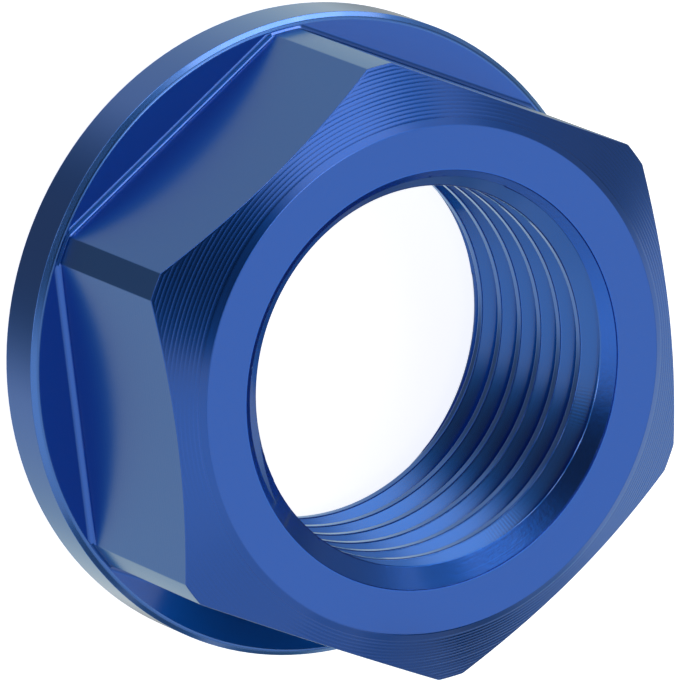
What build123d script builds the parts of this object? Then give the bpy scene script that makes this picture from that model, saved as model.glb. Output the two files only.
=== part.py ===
"""Axle nut: a turned aluminium flange nut with six milled flats and an M16 x 1.5 bore.

The origin is the middle of the bearing face, under the flange. +Z runs along the bore
to the chamfered front, and two of the six flats face -Y and +Y.
"""
import os
from math import radians, tan

from build123d import *

# The bore is the minor diameter of the M16 x 1.5 thread
bore_diameter = 14.7

# Hexagon
across_flats = 22.0
corner_diameter = 24.8
flat_count = 6

# Lengths along the bore
total_height = 11.0
flange_thickness = 2.35

# Flange
flange_diameter = 25.6
flange_edge_chamfer = 0.2

# Turned front: a flat ring inside a shallow cone that runs off over the corners
front_ring_diameter = 20.0
front_cone_angle = 30.0

# Countersinks that lead into the thread, at 45 degrees
front_countersink_diameter = 16.55
rear_countersink_diameter = 17.1

# The 45 degree roots on the flange: the milled one along the flats is the larger
milled_root = 0.25
turned_root = 0.15

# How far a cutter runs past the blank
cutter_overrun = 2.0


def turned_blank():
    """The lathe work: flange, corner diameter, front cone, front ring and bore."""
    flange_radius = flange_diameter / 2
    corner_radius = corner_diameter / 2
    ring_radius = front_ring_diameter / 2
    bore_radius = bore_diameter / 2
    front_mouth_radius = front_countersink_diameter / 2
    rear_mouth_radius = rear_countersink_diameter / 2
    front_lead = front_mouth_radius - bore_radius
    rear_lead = rear_mouth_radius - bore_radius
    cone_drop = (corner_radius - ring_radius) * tan(radians(front_cone_angle))
    section = Polyline(
        (rear_mouth_radius, 0),
        (flange_radius - flange_edge_chamfer, 0),
        (flange_radius, flange_edge_chamfer),
        (flange_radius, flange_thickness - flange_edge_chamfer),
        (flange_radius - flange_edge_chamfer, flange_thickness),
        (corner_radius + turned_root, flange_thickness),
        (corner_radius, flange_thickness + turned_root),
        (corner_radius, total_height - cone_drop),
        (ring_radius, total_height),
        (front_mouth_radius, total_height),
        (bore_radius, total_height - front_lead),
        (bore_radius, rear_lead),
        close=True,
    )
    return revolve(Plane.XZ * make_face(section), Axis.Z)


def flat_cutter():
    """The milling cut of one flat, on the +X side, with the 45 degree corner of its tool."""
    flat_distance = across_flats / 2
    outside = corner_diameter / 2 + cutter_overrun
    above = total_height + cutter_overrun
    section = Polyline(
        (flat_distance, above),
        (flat_distance, flange_thickness + milled_root),
        (flat_distance + milled_root, flange_thickness),
        (outside, flange_thickness),
        (outside, above),
        close=True,
    )
    return extrude(Plane.XZ * make_face(section), amount=outside, both=True)


def axle_nut():
    """The finished nut: the blank with its six flats milled down to the flange."""
    nut = turned_blank()
    for index in range(flat_count):
        nut -= Rot(0, 0, 360 * (index + 0.5) / flat_count) * flat_cutter()
    return nut


os.makedirs("parts", exist_ok=True)
nut = axle_nut()
nut.label = "axle_nut"
export_step(nut, "parts/axle_nut.step")
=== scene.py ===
"""Looks of the blue anodised axle nut: turned and milled metal, thread, floor, light and camera.

The origin is the middle of the bearing face, and +Z runs along the bore to the front.
Lengths in the named values are millimetres and angles degrees. Every mesh is in metres.
"""
from math import acos, asin, atan2, cos, hypot, pi, radians, sin, tan

import bpy
import numpy as np
from mathutils import Matrix, Vector


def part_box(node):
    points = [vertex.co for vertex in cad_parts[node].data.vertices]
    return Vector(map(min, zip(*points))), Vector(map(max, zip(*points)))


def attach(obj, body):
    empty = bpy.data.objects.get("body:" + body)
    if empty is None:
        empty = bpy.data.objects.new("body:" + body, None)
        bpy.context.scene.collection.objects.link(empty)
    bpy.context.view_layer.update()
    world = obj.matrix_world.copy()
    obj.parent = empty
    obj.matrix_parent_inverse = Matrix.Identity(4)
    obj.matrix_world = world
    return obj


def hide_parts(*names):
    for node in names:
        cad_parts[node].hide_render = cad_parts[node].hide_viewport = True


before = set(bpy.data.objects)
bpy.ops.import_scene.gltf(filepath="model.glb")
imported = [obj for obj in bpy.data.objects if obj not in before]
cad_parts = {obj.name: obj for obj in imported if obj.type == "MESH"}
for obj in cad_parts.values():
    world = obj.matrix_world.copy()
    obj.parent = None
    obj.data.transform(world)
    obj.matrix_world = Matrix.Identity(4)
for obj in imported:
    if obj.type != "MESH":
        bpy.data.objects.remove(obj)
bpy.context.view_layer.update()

MM = 0.001
TINY = 1e-9

# Sizes that the frame states
_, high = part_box("axle_nut")
TOTAL_HEIGHT = high[2] / MM
FLANGE_RADIUS = high[1] / MM

# Hexagon
FLAT_COUNT = 6
FLAT_DISTANCE = 11.0
CORNER_RADIUS = 12.4

# Flange: its top, its rear chamfer, and how far its front edge falls and reaches in
FLANGE_TOP = 2.35
FLANGE_EDGE = 0.2
RIM_DROP = 0.21
RIM_IN = 0.21

# The 45 degree roots between the flange and the walls
MILLED_ROOT = 0.17
TURNED_ROOT = 0.08

# Front ring: its radius, the smooth band outside it, its land and the round between them
RING_RADIUS = 10.0
RING_BAND = 0.26
RING_LAND = 0.2
RING_ROUND = 0.12

# Front cone and the turning grooves in it: how steep their sides are and how much that
# varies, and where the stations of one groove lie, as shares of its width
CONE_TILT = 30.0
GROOVE_START = 10.28
GROOVE_PITCH = 0.16
GROOVE_SLOPE = 8.0
GROOVE_SPREAD = (0.75, 1.1)
GROOVE_STATIONS = (-0.46, -0.3, -0.1, 0.1, 0.3, 0.46)
GROOVE_SEED = 7

# Countersinks: mouth radius, and how far each falls on its way in
FRONT_MOUTH = 8.25
FRONT_SINK = tan(radians(36.0))
REAR_MOUTH = 8.55
REAR_SINK = tan(radians(45.0))

# The small steep step that deburring left at the front mouth, with the height under it
# that its own rows take
STEP_IN = 0.02
STEP_DOWN = 0.075
STEP_ROUND = 0.02
STEP_ROWS = 0.032

# Edge breaks left by tumbling and anodising
BREAK = 0.03
RIM_BLEND = 0.05
TOP_BLEND = 0.19
MILLED_BLEND = 0.19
TURNED_BLEND = 0.02

# Thread
PITCH = 1.5
CREST_RADIUS = 7.42
CREST_WIDTH = 0.34
CREST_ROUND = 0.11
THREAD_DEPTH = 0.70
FLANK_ANGLE = 29.0
ROOT_ROUND = 0.1
THREAD_PHASE = 0.03
TURNS_ABOVE = 8
TURNS_BELOW = 1

# Where the thread runs out into a countersink: the size and tilt of the small facet, the
# highest place for it, and how its two ends are set back
LIP_BREAK = 0.05
LIP_TILT = 53.0
LIP_HEIGHT = 10.70
LIP_INNER = 0.8
LIP_LIMIT = 0.9

# Mesh density
FLAT_COLUMNS = 26
CORNER_COLUMNS = 8
BORE_COLUMNS = 320
ARC_STEPS = 4
THREAD_ARC_STEPS = 3
THREAD_STEP = 0.16

# The flange's row where its paler front edge starts, whose colour paints a whiter highlight there: the
# middle of its third rounded corner
HIGHLIGHT_EDGE_START = 1 + 2 * (ARC_STEPS + 1) + ARC_STEPS // 2

# The heights between which the bore has its stations, clear of both mouths' own rows
BORE_TOP = TOTAL_HEIGHT - STEP_DOWN - STEP_ROWS
BORE_FOOT = 2 * BREAK

# Numbers of the four stations that a lip adds, counted from the station after it, and
# numbers that put the two mouths before and after all stations
LIP_FIRST = (-0.6, -0.55)
LIP_SECOND = (-0.4, -0.35)
FRONT_NUMBER = -1
REAR_NUMBER = 1e9

# Material slots of the nut
TURNED, MILLED, CONE, THREAD, SINK, EDGE = range(6)

# The dye's colour, which took less in the bore, and the paler colour of the flange's front edge, which
# paints a whiter highlight there
DYE = (0.001, 0.103, 0.525)
MILLED_DYE = (0.001, 0.122, 0.505)
EDGE_HIGHLIGHT_DYE = (0.04, 0.18, 0.60)
THREAD_DYE = (0.005, 0.133, 0.55)
SINK_DYE = (0.008, 0.132, 0.64)

# The metal's tint at a glancing angle, outside and in the bore
EDGE_TINT = (0.35, 0.78, 0.70)
BORE_TINT = (0.15, 0.75, 0.90)
OXIDE_IOR = 1.6

# Tool marks and the uneven skin of the countersinks: how fine and how deep
NOISE_DETAIL = 3.0
MARKS_PER_MM = 16.0
MARK_DEPTH = 0.01
MOTTLES_PER_MM = 4.5
MOTTLE_DEPTH = 0.02
MOTTLE_STRENGTH = 0.35

# Tool chatter on the first turn of the thread: waves round the bore, depth, lowest height
# and its fade, the angles round the bore where it shows, and how far from them it does,
# first in full and then at all
CHATTER_WAVES = 350.0
CHATTER_DEPTH = 0.0007
CHATTER_FOOT = 9.2
CHATTER_FADE = 0.2
CHATTER_PLACES = (23.0, 66.0)
CHATTER_REACH = (3.0, 9.0)

# Floor, which lies just under the bearing face so that the two don't share a plane
FLOOR_REACH = 6000.0
FLOOR_GAP = 0.02
FLOOR_COLOUR = (0.86, 0.86, 0.87)
FLOOR_GLOW = 0.85
DULL = 0.9

# The black card: how far along the flange's reflection, its edges across it, and its heights
CARD_DISTANCE = 20.0
CARD_ACROSS = (10.4, 15.0)
CARD_ALONG = (-7.0, 3.4)
CARD_COLOUR = (0.01, 0.01, 0.01)

# The tent's brightness, the backdrop's, and how much brighter the table's far edge is, with
# the elevations between which that comes in and goes out
DOME_LEVEL = 0.84
BACKDROP_LEVEL = 0.95
HORIZON_GAIN = 0.2
HORIZON_IN = (-16, -5)
HORIZON_OUT = (-3, 1)

# What the nut mirrors: azimuth, elevation, inner and outer angle, and the share of the light
# that a dark place takes or the light that a bright one adds
DARK_SPOTS = [
    (228, 34, 18, 38, 0.80),
    (228, 58, 14, 24, 0.82),
    (193, 38, 8, 17, 0.64),
    (148, 29, 8, 14, 0.68),
    (169, 35, 6, 12, 0.82),
    (57, 80, 8, 18, 0.30),
    (328, 11, 8, 15, 0.80),
    (350, -1, 7, 13, 0.85),
    (12, -11, 5, 12, 0.85),
    (105, 17, 14, 30, 0.62),
    (95, -3, 6, 14, 0.60),
    (24, 13, 9, 18, 0.50),
    (37, 3, 5, 13, 0.45),
    (8, 23, 5, 13, 0.35),
    (345, 32, 8, 24, 0.16),
    (63, -58, 6, 20, 0.60),
    (243, -52, 12, 34, 0.76),
    (182, -58, 6, 24, 0.18),
]
BRIGHT_SPOTS = [
    (157, 51, 8, 19, 0.90),
    (57, 57, 6, 20, 0.22),
    (119, 73, 4, 11, 2.8),
    (289, 30, 8, 22, 0.20),
    (134, 7, 3, 8, 2.2),
    (144, 11, 3, 8, 3.4),
    (154, 14, 3, 8, 3.4),
    (164, 17, 3, 8, 3.4),
    (174, 20, 3, 8, 2.8),
    (183, 22, 3, 7, 0.6),
    (195, 13, 3, 8, 3.0),
    (196, 1, 4, 10, 2.5),
    (215, 16, 3, 8, 3.0),
    (237, 17, 3, 8, 3.0),
    (262, 14, 3, 8, 2.5),
    (33, -58, 10, 26, 0.15),
    (95, -58, 8, 22, 0.12),
]

# Camera, from the fit of the nut's edges in the photograph
IMAGE_SIZE = 680
FOCAL_PIXELS = 14000.0
CAMERA_AZIMUTH = 236.92
CAMERA_ELEVATION = 57.50
CAMERA_ROLL = -112.01
CAMERA_DISTANCE = 541.98
AIM = (-0.533, -0.626, 4.980)
SENSOR_WIDTH = 36.0
CLIP_START = 10.0
CLIP_END = 50000.0


def unit(azimuth, elevation):
    """The unit vector at an azimuth from +X and an elevation."""
    a, e = radians(azimuth), radians(elevation)
    return Vector((cos(e) * cos(a), cos(e) * sin(a), sin(e)))


def polar(angle, radius, height):
    """The point, or the vector, at an angle round the bore."""
    return (radius * cos(angle), radius * sin(angle), height)


def side_normal(start, end):
    """The unit normal on the right of a straight."""
    way = (end - start) / np.linalg.norm(end - start)
    return np.array([way[1], -way[0]])


def arc(before, here, after, radius, steps):
    """The rows that round one corner of a polyline, from one straight's normal to the next."""
    n0, n1 = side_normal(before, here), side_normal(here, after)
    a0, a1 = atan2(n0[1], n0[0]), atan2(n1[1], n1[0])
    turn = (a1 - a0 + pi) % (2 * pi) - pi
    sign = 1 if turn > 0 else -1
    setback = radius * abs(tan(turn / 2))
    start = here + (before - here) / np.linalg.norm(before - here) * setback
    centre = start - n0 * radius * sign
    rows = []
    for step in range(steps + 1):
        a = a0 + turn * step / steps
        normal = np.array([cos(a), sin(a)])
        rows.append((*(centre + normal * radius * sign), *normal))
    return rows


def rounded(points, radii, steps=ARC_STEPS):
    """Rounds a polyline's inner corners. Gives (x, y, normal x, normal y) rows."""
    points = [np.array(point, float) for point in points]
    rows = [(*points[0], *side_normal(points[0], points[1]))]
    for index, radius in enumerate(radii):
        rows += arc(*points[index:index + 3], radius, steps)
    rows.append((*points[-1], *side_normal(points[-2], points[-1])))
    return rows


class Shell:
    """Vertices with their own normals, and faces with a material slot."""

    def __init__(self):
        self.points = []
        self.normals = []
        self.faces = []
        self.slots = []

    def row(self, points, normals):
        """Adds one vertex for each column and returns their numbers."""
        start = len(self.points)
        self.points.extend(points)
        self.normals.extend(normals)
        return list(range(start, start + len(points)))

    def face(self, corners, slot):
        """Adds one face, as a triangle where two of its corners are the same."""
        kept = [c for n, c in enumerate(corners) if c != corners[n - 1]]
        if len(kept) > 2 and len(set(kept)) == len(kept):
            self.faces.append(tuple(kept))
            self.slots.append(slot)

    def join(self, lower, upper, slot):
        """Joins two closed rows that have the same angles."""
        count = len(lower)
        for i in range(count):
            j = (i + 1) % count
            self.face((lower[i], lower[j], upper[j], upper[i]), slot)

    def join_all(self, rows, slot):
        """Joins rows that have the same angles, one after the other."""
        for lower, upper in zip(rows, rows[1:]):
            self.join(lower, upper, slot)

    def zip_rows(self, left, right, slot):
        """Joins two rows of numbered vertices, whose numbers may differ, by triangles."""
        i = j = 0
        while i + 1 < len(left) or j + 1 < len(right):
            more_left = i + 1 < len(left)
            more_right = j + 1 < len(right)
            if more_left and (not more_right or left[i + 1][0] <= right[j + 1][0]):
                self.face((left[i][1], right[j][1], left[i + 1][1]), slot)
                i += 1
            else:
                self.face((left[i][1], right[j][1], right[j + 1][1]), slot)
                j += 1

    def join_round(self, lower, lower_angles, upper, upper_angles, slot):
        """Joins two closed rows that have different angles."""
        closed = []
        for row, angles in ((upper, upper_angles), (lower, lower_angles)):
            closed.append([*zip(angles, row), (angles[0] + 2 * pi, row[0])])
        self.zip_rows(*closed, slot)


def columns(flat_distance, turned_radius):
    """Angle, radius and flat of each column round the hexagon at one level.

    The edge between a flat and the turned corner falls between two columns, and
    the narrow face between them is the edge's break. A corner's columns have no flat.
    """
    half = acos(min(1.0, flat_distance / turned_radius))
    edge = BREAK / turned_radius
    step = 2 * pi / FLAT_COUNT
    span = step - 2 * (half + edge)
    result = []
    for k in range(FLAT_COUNT):
        middle = step * (k + 0.5)
        for i in range(FLAT_COLUMNS + 1):
            away = (half - edge) * (2 * i / FLAT_COLUMNS - 1)
            result.append((middle + away, flat_distance / cos(away), middle))
        for i in range(CORNER_COLUMNS + 1):
            angle = middle + half + edge + span * i / CORNER_COLUMNS
            result.append((angle, turned_radius, None))
    return result


BASE_COLUMNS = columns(FLAT_DISTANCE, CORNER_RADIUS)
BASE_ANGLES = [angle for angle, _, _ in BASE_COLUMNS]
BORE_ANGLES = [2 * pi * k / BORE_COLUMNS for k in range(BORE_COLUMNS)]


def facing(angle, flat, out, up):
    """The normal of a column: square to its flat, or radial on a turned corner."""
    return polar(angle if flat is None else flat, out, up)


def circle_row(shell, angles, radius, height, out, up):
    """A round row at the given angles."""
    points = [polar(a, radius, height) for a in angles]
    normals = [polar(a, out, up) for a in angles]
    return shell.row(points, normals)


def circle_rows(shell, angles, section):
    """Round rows for a section of (radius, height, normal out, normal up)."""
    return [circle_row(shell, angles, *station) for station in section]


def hexagon_row(shell, on_flats, on_corners):
    """A row round the hexagon, with its own (offset, height, normal out, normal up) on each kind."""
    points, normals = [], []
    for angle, radius, flat in columns(FLAT_DISTANCE + on_flats[0], CORNER_RADIUS + on_corners[0]):
        _, height, out, up = on_corners if flat is None else on_flats
        points.append(polar(angle, radius, height))
        normals.append(facing(angle, flat, out, up))
    return shell.row(points, normals)


def rear_mouth(shell):
    """The broken edge between the rear countersink and the bearing face."""
    corners = [(REAR_MOUTH - BREAK, BREAK), (REAR_MOUTH, 0), (REAR_MOUTH + BREAK, 0)]
    rows = circle_rows(shell, BORE_ANGLES, rounded(corners, [BREAK / 2]))
    shell.join_all(rows, TURNED)
    return rows


def flange(shell, mouth):
    """Bearing face, rear chamfer, rim and front edge with its paler colour that paints a whiter
    highlight, up to the flange's top.
    """
    corners = [
        (REAR_MOUTH + 2 * BREAK, 0),
        (FLANGE_RADIUS - FLANGE_EDGE, 0),
        (FLANGE_RADIUS, FLANGE_EDGE),
        (FLANGE_RADIUS, FLANGE_TOP - RIM_DROP),
        (FLANGE_RADIUS - RIM_IN, FLANGE_TOP),
        (CORNER_RADIUS + TURNED_ROOT, FLANGE_TOP),
    ]
    section = rounded(corners, [RIM_BLEND, RIM_BLEND, RIM_BLEND, TOP_BLEND])
    rows = circle_rows(shell, BASE_ANGLES, section[:-1])
    shell.join_round(mouth, BORE_ANGLES, rows[0], BASE_ANGLES, TURNED)
    shell.join_all(rows[:HIGHLIGHT_EDGE_START + 1], TURNED)
    # The front edge takes the paler material, whose colour paints a whiter highlight there
    shell.join_all(rows[HIGHLIGHT_EDGE_START:], EDGE)
    return rows[-1]


def root_section(root, blend):
    """A 45 degree root of one size, from the flange's top up to a wall."""
    corners = [
        (root + blend, FLANGE_TOP),
        (root, FLANGE_TOP),
        (0, FLANGE_TOP + root),
        (0, FLANGE_TOP + root + blend),
    ]
    return rounded(corners, [blend, blend])[1:]


def roots(shell, rim):
    """The flange's top, the milled root along the flats and the turned one on the corners."""
    on_flats = root_section(MILLED_ROOT, MILLED_BLEND)
    on_corners = root_section(TURNED_ROOT, TURNED_BLEND)
    rows = [rim]
    rows += [hexagon_row(shell, *pair) for pair in zip(on_flats, on_corners)]
    shell.join_all(rows, TURNED)
    return rows[-1]


def cone_height(radius):
    """The front cone's height at a radius."""
    return TOTAL_HEIGHT - (radius - RING_RADIUS) * tan(radians(CONE_TILT))


def walls(shell, foot):
    """The six flats and the corners between them, up to their broken edge at the cone."""
    tilt = radians(CONE_TILT)
    top_points, top_normals, edge_points, edge_normals = [], [], [], []
    for angle, radius, flat in BASE_COLUMNS:
        inner = radius - BREAK
        top_points.append(polar(angle, radius, cone_height(radius) - BREAK))
        top_normals.append(facing(angle, flat, 1.0, 0.0))
        edge_points.append(polar(angle, inner, cone_height(inner)))
        edge_normals.append(polar(angle, sin(tilt), cos(tilt)))
    top = shell.row(top_points, top_normals)
    edge = shell.row(edge_points, edge_normals)
    shell.join(foot, top, MILLED)
    shell.join(top, edge, TURNED)
    return edge


def groove_section():
    """Radius, height and normal of the front cone's grooves, from the corner inwards."""
    tilt = radians(CONE_TILT)
    along = np.array([-cos(tilt), sin(tilt)])
    outward = np.array([sin(tilt), cos(tilt)])
    start = np.array([CORNER_RADIUS, cone_height(CORNER_RADIUS)])
    length = (CORNER_RADIUS - GROOVE_START) / cos(tilt)
    count = round(length / GROOVE_PITCH)
    pitch = length / count
    rng = np.random.default_rng(GROOVE_SEED)
    rows = []
    for k in range(count):
        slope = GROOVE_SLOPE * rng.uniform(*GROOVE_SPREAD)
        nose = pitch / 2 / sin(radians(slope))
        for share in GROOVE_STATIONS:
            x = share * pitch
            depth = ((pitch / 2) ** 2 - x * x) / (2 * nose)
            lean = asin(x / nose)
            place = start + along * ((k + 0.5) * pitch + x) - outward * depth
            rows.append((*place, *(outward * cos(lean) - along * sin(lean))))
    return rows


def grooved_cone(shell, edge):
    """The cone's grooves, each of which starts on the walls' edge where it meets it."""
    previous = edge
    for radius, height, out, up in groove_section():
        row = []
        for (angle, reach, _), corner in zip(BASE_COLUMNS, edge):
            if radius >= reach - BREAK:
                row.append(corner)
            else:
                row += circle_row(shell, [angle], radius, height, out, up)
        shell.join(previous, row, CONE)
        previous = row
    return previous


def front_ring(shell, cone):
    """The cone's smooth band and the outer edge of the flat front ring."""
    start = RING_RADIUS + RING_BAND
    corners = [
        (start, cone_height(start)),
        (RING_RADIUS, TOTAL_HEIGHT),
        (RING_RADIUS - RING_LAND, TOTAL_HEIGHT),
    ]
    rows = circle_rows(shell, BASE_ANGLES, rounded(corners, [RING_ROUND]))
    shell.join(cone, rows[0], CONE)
    shell.join_all(rows, TURNED)
    return rows[-1]


def front_mouth(shell, ring):
    """The front ring's inner edge: a small steep step and the start of the countersink."""
    inner = FRONT_MOUTH - STEP_IN
    foot = TOTAL_HEIGHT - STEP_DOWN
    reach = 2 * STEP_ROUND
    corners = [
        (FRONT_MOUTH + reach, TOTAL_HEIGHT),
        (FRONT_MOUTH, TOTAL_HEIGHT),
        (inner, foot),
        (inner - reach, foot - reach * FRONT_SINK),
    ]
    rows = circle_rows(shell, BORE_ANGLES, rounded(corners, [STEP_ROUND, STEP_ROUND]))
    shell.join_round(ring, BASE_ANGLES, rows[0], BORE_ANGLES, TURNED)
    shell.join_all(rows, SINK)
    return rows[-1]


def between(before, after, share):
    """The station at a share of the way between two."""
    return tuple(start + (end - start) * share for start, end in zip(before, after))


def thread_section():
    """Radius, height and normal of one pitch of the thread, from crest to crest."""
    flank = THREAD_DEPTH * tan(radians(FLANK_ANGLE))
    half = CREST_WIDTH / 2
    root = PITCH - CREST_WIDTH - 2 * flank
    deep = CREST_RADIUS + THREAD_DEPTH
    corners = [
        (CREST_RADIUS, 0),
        (CREST_RADIUS, -half),
        (deep, -half - flank),
        (deep, -half - flank - root),
        (CREST_RADIUS, -PITCH + half),
        (CREST_RADIUS, -PITCH),
    ]
    rows = rounded(corners, [CREST_ROUND, ROOT_ROUND, ROOT_ROUND, CREST_ROUND], THREAD_ARC_STEPS)
    fine = []
    for before, after in zip(rows, rows[1:]):
        fine.append(before)
        gap = hypot(after[0] - before[0], after[1] - before[1])
        pieces = int(gap / THREAD_STEP)
        fine += [between(before, after, k / pieces) for k in range(1, pieces)]
    return fine


def sink_radius(height):
    """How far out the two countersinks reach at a height."""
    top = TOTAL_HEIGHT - STEP_DOWN
    front = FRONT_MOUTH - STEP_IN - (top - height) / FRONT_SINK
    rear = REAR_MOUTH - height / REAR_SINK
    return max(front, rear)


def sink_facing(height):
    """The normal of the countersink that is nearer to a height."""
    front = height > TOTAL_HEIGHT / 2
    slope = FRONT_SINK if front else REAR_SINK
    length = hypot(slope, 1)
    return -slope / length, (1 if front else -1) / length


def opened(station):
    """Whether the thread, not the countersink, is the surface at a station."""
    return station[0] > sink_radius(station[1]) and station[1] < LIP_HEIGHT


def lip_ends(before, after):
    """Where a countersink and the thread meet between two stations: a place on each."""
    f0 = before[0] - sink_radius(before[1])
    f1 = after[0] - sink_radius(after[1])
    if f0 * f1 < 0:
        cut = between(before, after, f0 / (f0 - f1))
        if cut[1] <= LIP_HEIGHT:
            return cut[:2], cut
    cut = between(before, after, (before[1] - LIP_HEIGHT) / (before[1] - after[1]))
    return (sink_radius(LIP_HEIGHT), LIP_HEIGHT), cut


def crossing(before, after):
    """The small facet between a countersink and the thread, as the stations of its two sides."""
    on_sink, on_thread = lip_ends(before, after)
    entering = opened(after)
    front = on_sink[1] > TOTAL_HEIGHT / 2
    nr, nz = sink_facing(on_sink[1])
    along = (nz, -nr) if entering else (-nz, nr)
    station = after if entering else before
    gap = hypot(station[0] - on_thread[0], station[1] - on_thread[1])
    share = min(LIP_LIMIT, LIP_BREAK / max(gap, TINY))
    sink = []
    for back in (LIP_BREAK, LIP_BREAK * LIP_INNER):
        sink.append((on_sink[0] + along[0] * back, on_sink[1] + along[1] * back, nr, nz))
    thread = [between(on_thread, station, share * part) for part in (LIP_INNER, 1.0)]
    if entering == front:
        tilt = radians(LIP_TILT)
        facet = (-sin(tilt), cos(tilt) if front else -cos(tilt))
        sink[1] = (*sink[1][:2], *facet)
        thread[0] = (*thread[0][:2], *facet)
    return (sink, thread) if entering else (thread[::-1], sink[::-1])


def add_lip(stretches, number, before, here):
    """Ends one stretch and starts the next, on the two sides of the facet between them."""
    first, second = crossing(before, here)
    ending = stretches[-1]
    while ending and opened(here) and ending[-1][1][1] <= first[0][1]:
        ending.pop()
    ending += [(number + part, side) for part, side in zip(LIP_FIRST, first)]
    stretches.append([(number + part, side) for part, side in zip(LIP_SECOND, second)])


def add_station(stretch, number, here):
    """Adds a station of the thread or, where that is cut away, its place on the countersink."""
    height = here[1]
    if opened(here):
        stretch.append((number, here))
    elif not stretch or stretch[-1][1][1] > height:
        stretch.append((number, (sink_radius(height), height, *sink_facing(height))))


def bore_stretches(angle, section):
    """The bore's section at one angle, from the front down, as stretches of stations.

    Countersink and thread take turns, and each station has its number along the helix,
    so that neighbouring columns can be matched.
    """
    rise = THREAD_PHASE + PITCH * angle / (2 * pi)
    count = len(section)
    stretches = [[]]
    before = None
    for number in range((TURNS_ABOVE + TURNS_BELOW) * count):
        radius, height, out, up = section[number % count]
        turn = TURNS_ABOVE - number // count
        here = (radius, height + rise + PITCH * turn, out, up)
        if here[1] < BORE_FOOT:
            break
        if before and opened(here) != opened(before):
            add_lip(stretches, number, before, here)
        if here[1] < BORE_TOP:
            add_station(stretches[-1], number, here)
        before = here
    return stretches


def helix_normal(angle, radius, out, up, on_thread):
    """The normal of a station, which leans with the helix where it is on the thread."""
    lean = -up * PITCH / (2 * pi * radius) if on_thread else 0.0
    return (out * cos(angle) - lean * sin(angle), out * sin(angle) + lean * cos(angle), up)


def bore_column(shell, angle, section, front, rear):
    """One column of the bore, from the front mouth's vertex to the rear mouth's."""
    column = []
    for stretch in bore_stretches(angle, section):
        points, normals = [], []
        on_thread = len(column) % 2 == 1
        for _, (radius, height, out, up) in stretch:
            points.append(polar(angle, radius, height))
            normals.append(helix_normal(angle, radius, out, up, on_thread))
        numbers = [number for number, _ in stretch]
        column.append(list(zip(numbers, shell.row(points, normals))))
    column[0].insert(0, (FRONT_NUMBER, front))
    column[-1].append((REAR_NUMBER, rear))
    return column


def after_turn(column, count):
    """A column as it is one turn of the helix later, where the bore closes."""
    shifted = []
    for stretch in column:
        shifted.append([])
        for number, vertex in stretch:
            at_mouth = number in (FRONT_NUMBER, REAR_NUMBER)
            shifted[-1].append((number if at_mouth else number + count, vertex))
    return shifted


def join_columns(shell, left, right):
    """Joins two neighbouring columns of the bore, stretch by stretch where they match."""
    if len(left) != len(right):
        shell.zip_rows(sum(left, []), sum(right, []), THREAD)
        return
    for k in range(len(left)):
        shell.zip_rows(left[k], right[k], THREAD if k % 2 else SINK)
        if k + 1 < len(left):
            shell.zip_rows([left[k][-1], left[k + 1][0]], [right[k][-1], right[k + 1][0]], THREAD)


def bore(shell, front, rear):
    """The helical thread between the two countersinks, welded to both mouths."""
    section = thread_section()
    strips = []
    for angle, front_vertex, rear_vertex in zip(BORE_ANGLES, front, rear):
        strips.append(bore_column(shell, angle, section, front_vertex, rear_vertex))
    strips.append(after_turn(strips[0], len(section)))
    for left, right in zip(strips, strips[1:]):
        join_columns(shell, left, right)


def nut_shell():
    """The whole nut as one closed shell: out, up, in over the front and down the bore."""
    shell = Shell()
    rear = rear_mouth(shell)
    rim = flange(shell, rear[-1])
    foot = roots(shell, rim)
    edge = walls(shell, foot)
    cone = grooved_cone(shell, edge)
    ring = front_ring(shell, cone)
    front = front_mouth(shell, ring)
    bore(shell, front, rear[0])
    return shell


def mesh_object(name, shell, materials):
    """Turns a shell into a Blender object with its own normals."""
    mesh = bpy.data.meshes.new(name)
    points = (np.array(shell.points) * MM).tolist()
    mesh.from_pydata(points, [], shell.faces)
    for material in materials:
        mesh.materials.append(material)
    mesh.polygons.foreach_set("material_index", shell.slots)
    mesh.polygons.foreach_set("use_smooth", [True] * len(shell.faces))
    mesh.normals_split_custom_set_from_vertices(shell.normals)
    mesh.update()
    piece = bpy.data.objects.new(name, mesh)
    bpy.context.scene.collection.objects.link(piece)
    return piece


class Nodes:
    """Short calls for building a node tree from nothing."""

    def __init__(self, tree):
        tree.nodes.clear()
        self.tree = tree

    def add(self, kind, values=None, **settings):
        """Adds a node with its settings, and with fixed values on the inputs named."""
        node = self.tree.nodes.new(kind)
        for key, value in settings.items():
            setattr(node, key, value)
        for key, value in (values or {}).items():
            node.inputs[key].default_value = value
        return node

    def link(self, output, socket):
        """Links an output to an input."""
        self.tree.links.new(output, socket)

    def math(self, operation, a, b=None):
        """One calculation with one or two terms, each a number or an output."""
        node = self.add("ShaderNodeMath", operation=operation)
        for index, value in enumerate((a, b)):
            if value is None:
                continue
            if hasattr(value, "is_output"):
                self.link(value, node.inputs[index])
            else:
                node.inputs[index].default_value = value
        return node.outputs[0]

    def smooth(self, value, start, end, low=0.0, high=1.0):
        """Goes smoothly from low at start to high at end."""
        limits = {"From Min": start, "From Max": end, "To Min": low, "To Max": high}
        node = self.add("ShaderNodeMapRange", limits, interpolation_type="SMOOTHSTEP")
        self.link(value, node.inputs["Value"])
        return node.outputs["Result"]

    def dot(self, vector, fixed):
        """The dot product with a fixed vector."""
        node = self.add("ShaderNodeVectorMath", {1: fixed}, operation="DOT_PRODUCT")
        self.link(vector, node.inputs[0])
        return node.outputs["Value"]

    def split(self, vector):
        """The X, Y and Z of a vector."""
        node = self.add("ShaderNodeSeparateXYZ")
        self.link(vector, node.inputs[0])
        return node.outputs

    def place(self):
        """The place on the piece, in metres."""
        return self.add("ShaderNodeTexCoord").outputs["Object"]

    def bump(self, height, depth, strength=1.0, normal=None):
        """The normal of a fine relief, on top of another where one is given."""
        node = self.add("ShaderNodeBump", {"Strength": strength, "Distance": depth * MM})
        self.link(height, node.inputs["Height"])
        if normal:
            self.link(normal, node.inputs["Normal"])
        return node.outputs["Normal"]


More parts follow.
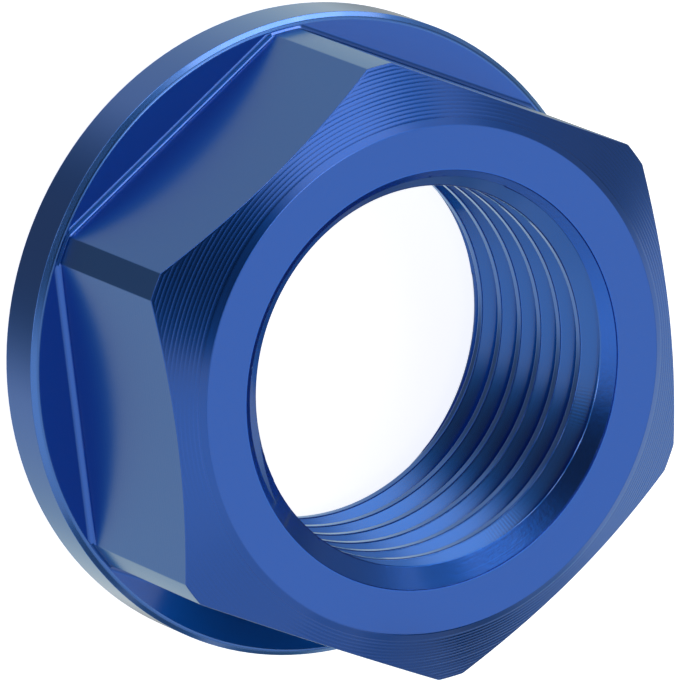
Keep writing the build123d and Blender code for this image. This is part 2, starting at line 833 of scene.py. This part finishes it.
def anodised(name, dye, tint=EDGE_TINT, roughness=0.26, coat=1.0, coat_roughness=0.08, sheen=0.0):
    """Dyed oxide over etched metal, still without marks. Gives its material, nodes and shader."""
    material = bpy.data.materials.new(name)
    material.use_nodes = True
    n = Nodes(material.node_tree)
    shader = n.add("ShaderNodeBsdfPrincipled", {
        "Base Color": (*dye, 1),
        "Metallic": 1.0,
        "Roughness": roughness,
        "Specular Tint": (*tint, 1),
        "Coat Weight": coat,
        "Coat Roughness": coat_roughness,
        "Coat IOR": OXIDE_IOR,
        "Sheen Weight": sheen,
        "Sheen Roughness": 1.0,
    })
    output = n.add("ShaderNodeOutputMaterial")
    n.link(shader.outputs["BSDF"], output.inputs["Surface"])
    return material, n, shader


def tool_marks(n, across, strength):
    """Fine lines that follow each other across a direction."""
    noise = {"Scale": MARKS_PER_MM / MM, "Detail": NOISE_DETAIL}
    line = n.add("ShaderNodeTexNoise", noise, noise_dimensions="1D")
    n.link(across, line.inputs["W"])
    return n.bump(line.outputs["Fac"], MARK_DEPTH, strength)


def lathe_marks(n, strength):
    """Tool marks that go round the bore."""
    x, y, _ = n.split(n.place())
    squares = n.math("ADD", n.math("MULTIPLY", x, x), n.math("MULTIPLY", y, y))
    return tool_marks(n, n.math("SQRT", squares), strength)


def mill_marks(n, strength):
    """Tool marks that run level along the flats."""
    return tool_marks(n, n.split(n.place())[2], strength)


def chatter(n, normal):
    """Fine ripples across the first turn of the thread, where the tool shook."""
    x, y, z = n.split(n.place())
    angle = n.math("ARCTAN2", y, x)
    wave = n.math("SINE", n.math("MULTIPLY", angle, CHATTER_WAVES))
    reach = n.smooth(z, CHATTER_FOOT * MM, (CHATTER_FOOT + CHATTER_FADE) * MM)
    shown = 0.0
    for place in CHATTER_PLACES:
        away = n.math("ABSOLUTE", n.math("SUBTRACT", angle, radians(place)))
        here = n.smooth(away, *[radians(angle) for angle in CHATTER_REACH], 1.0, 0.0)
        shown = n.math("ADD", here, shown)
    height = n.math("MULTIPLY", wave, n.math("MULTIPLY", reach, shown))
    return n.bump(height, CHATTER_DEPTH, normal=normal)


def mottle(n, normal):
    """The uneven skin that deburring and etching left."""
    noise = n.add("ShaderNodeTexNoise", {"Scale": MOTTLES_PER_MM / MM, "Detail": NOISE_DETAIL})
    n.link(n.place(), noise.inputs["Vector"])
    return n.bump(noise.outputs["Fac"], MOTTLE_DEPTH, MOTTLE_STRENGTH, normal)


def turned_faces():
    """Bearing face, rim, flange top, roots and front ring."""
    material, n, shader = anodised("turned_faces", DYE, roughness=0.28)
    n.link(lathe_marks(n, strength=0.25), shader.inputs["Normal"])
    return material


def milled_flats():
    """The six flats, duller than the lathe work."""
    material, n, shader = anodised("milled_flats", MILLED_DYE, roughness=0.32, coat_roughness=0.2)
    n.link(mill_marks(n, strength=0.35), shader.inputs["Normal"])
    return material


def turned_cone():
    """The front cone, whose grooves are in the mesh."""
    material, n, shader = anodised("turned_cone", DYE)
    n.link(lathe_marks(n, strength=0.1), shader.inputs["Normal"])
    return material


def cut_thread():
    """The thread, with chatter on its first turn."""
    material, n, shader = anodised("cut_thread", THREAD_DYE, BORE_TINT, roughness=0.27, sheen=0.03)
    n.link(chatter(n, lathe_marks(n, strength=0.15)), shader.inputs["Normal"])
    return material


def countersinks():
    """Both countersinks, with a thinner and uneven skin."""
    material, n, shader = anodised(
        "countersinks", SINK_DYE, BORE_TINT, roughness=0.25, coat=0.7, coat_roughness=0.12, sheen=0.012)
    n.link(mottle(n, lathe_marks(n, strength=0.2)), shader.inputs["Normal"])
    return material


def pale_highlight_edge():
    """The flange's front edge, in a paler colour that paints a whiter highlight on it."""
    material, n, shader = anodised("pale_highlight_edge", EDGE_HIGHLIGHT_DYE)
    n.link(lathe_marks(n, strength=0.1), shader.inputs["Normal"])
    return material


def make_nut():
    """The dressed nut, which stands for the frame's one node."""
    materials = [
        turned_faces(),
        milled_flats(),
        turned_cone(),
        cut_thread(),
        countersinks(),
        pale_highlight_edge(),
    ]
    nut = mesh_object("axle_nut_metal", nut_shell(), materials)
    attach(nut, "root")
    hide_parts("axle_nut")
    return nut


def dull(name, colour):
    """A dull material of one colour. Gives it with its shader."""
    material = bpy.data.materials.new(name)
    material.use_nodes = True
    shader = material.node_tree.nodes["Principled BSDF"]
    shader.inputs["Base Color"].default_value = (*colour, 1)
    shader.inputs["Roughness"].default_value = DULL
    return material, shader


def sheet(name, corners, material):
    """A flat piece with four corners."""
    mesh = bpy.data.meshes.new(name)
    mesh.from_pydata([tuple(Vector(corner) * MM) for corner in corners], [], [(0, 1, 2, 3)])
    mesh.materials.append(material)
    piece = bpy.data.objects.new(name, mesh)
    bpy.context.scene.collection.objects.link(piece)
    return piece


def make_floor():
    """A plain pale floor, far larger than the view."""
    material, shader = dull("pale_floor", FLOOR_COLOUR)
    shader.inputs["Specular IOR Level"].default_value = 0.0
    shader.inputs["Emission Color"].default_value = (1, 1, 1, 1)
    shader.inputs["Emission Strength"].default_value = FLOOR_GLOW
    signs = ((-1, -1), (1, -1), (1, 1), (-1, 1))
    corners = [(x * FLOOR_REACH, y * FLOOR_REACH, -FLOOR_GAP) for x, y in signs]
    floor = sheet("floor", corners, material)
    floor.visible_glossy = False
    return floor


def make_card():
    """A small black card beside the nut, which the lower end of the flange reflects."""
    material, _ = dull("black_card", CARD_COLOUR)
    mirrored = unit(CAMERA_AZIMUTH - 180, CAMERA_ELEVATION)
    sideways = unit(CAMERA_AZIMUTH - 270, 0)
    upright = sideways.cross(mirrored)
    corners = []
    for i, j in ((0, 0), (1, 0), (1, 1), (0, 1)):
        corners.append(mirrored * CARD_DISTANCE + sideways * CARD_ACROSS[i] + upright * CARD_ALONG[j])
    card = sheet("card", corners, material)
    card.visible_camera = False
    card.visible_diffuse = False
    card.visible_shadow = False
    return card


def spot(n, way, azimuth, elevation, inner, outer):
    """1 within the inner angle of a direction, falling to 0 at the outer angle."""
    value = n.dot(way, unit(azimuth, elevation))
    return n.smooth(value, cos(radians(outer)), cos(radians(inner)))


def horizon(n, way):
    """1 in a band just under the horizon, and 0 above and below it."""
    height = n.split(way)[2]
    coming = n.smooth(height, *[sin(radians(angle)) for angle in HORIZON_IN])
    going = n.smooth(height, *[sin(radians(angle)) for angle in HORIZON_OUT], 1.0, 0.0)
    return n.math("MULTIPLY", coming, going)


def tent_level(n, way):
    """The tent's brightness in each direction."""
    level = n.math("ADD", n.math("MULTIPLY", horizon(n, way), HORIZON_GAIN), DOME_LEVEL)
    for *place, share in DARK_SPOTS:
        taken = n.math("MULTIPLY", spot(n, way, *place), share)
        level = n.math("MULTIPLY", level, n.math("SUBTRACT", 1.0, taken))
    for *place, gain in BRIGHT_SPOTS:
        level = n.math("ADD", level, n.math("MULTIPLY", spot(n, way, *place), gain))
    return level


def make_light():
    """A soft white tent as the world, with its lamps and its darker openings."""
    world = bpy.data.worlds.new("tent")
    bpy.context.scene.world = world
    world.use_nodes = True
    n = Nodes(world.node_tree)
    way = n.add("ShaderNodeTexCoord").outputs["Generated"]
    tent = n.add("ShaderNodeBackground")
    n.link(tent_level(n, way), tent.inputs["Strength"])
    backdrop = n.add("ShaderNodeBackground", {"Strength": BACKDROP_LEVEL})
    mix = n.add("ShaderNodeMixShader")
    n.link(n.add("ShaderNodeLightPath").outputs["Is Camera Ray"], mix.inputs[0])
    n.link(tent.outputs[0], mix.inputs[1])
    n.link(backdrop.outputs[0], mix.inputs[2])
    output = n.add("ShaderNodeOutputWorld")
    n.link(mix.outputs[0], output.inputs["Surface"])


def make_camera():
    """The camera at the photograph's viewing angle."""
    data = bpy.data.cameras.new("camera")
    data.sensor_width = SENSOR_WIDTH
    data.lens = FOCAL_PIXELS / IMAGE_SIZE * SENSOR_WIDTH
    data.clip_start = CLIP_START * MM
    data.clip_end = CLIP_END * MM
    camera = bpy.data.objects.new("camera", data)
    bpy.context.scene.collection.objects.link(camera)
    back = unit(CAMERA_AZIMUTH, CAMERA_ELEVATION)
    level_right = Vector((0, 0, 1)).cross(back).normalized()
    level_up = back.cross(level_right)
    roll = radians(CAMERA_ROLL)
    up = level_up * cos(roll) + level_right * sin(roll)
    right = level_right * cos(roll) - level_up * sin(roll)
    place = (Vector(AIM) + back * CAMERA_DISTANCE) * MM
    turn = Matrix((right, up, back)).transposed().to_4x4()
    camera.matrix_world = Matrix.Translation(place) @ turn
    bpy.context.scene.camera = camera


bpy.context.scene.view_settings.view_transform = "Standard"
make_camera()
make_light()
make_floor()
make_card()
make_nut()
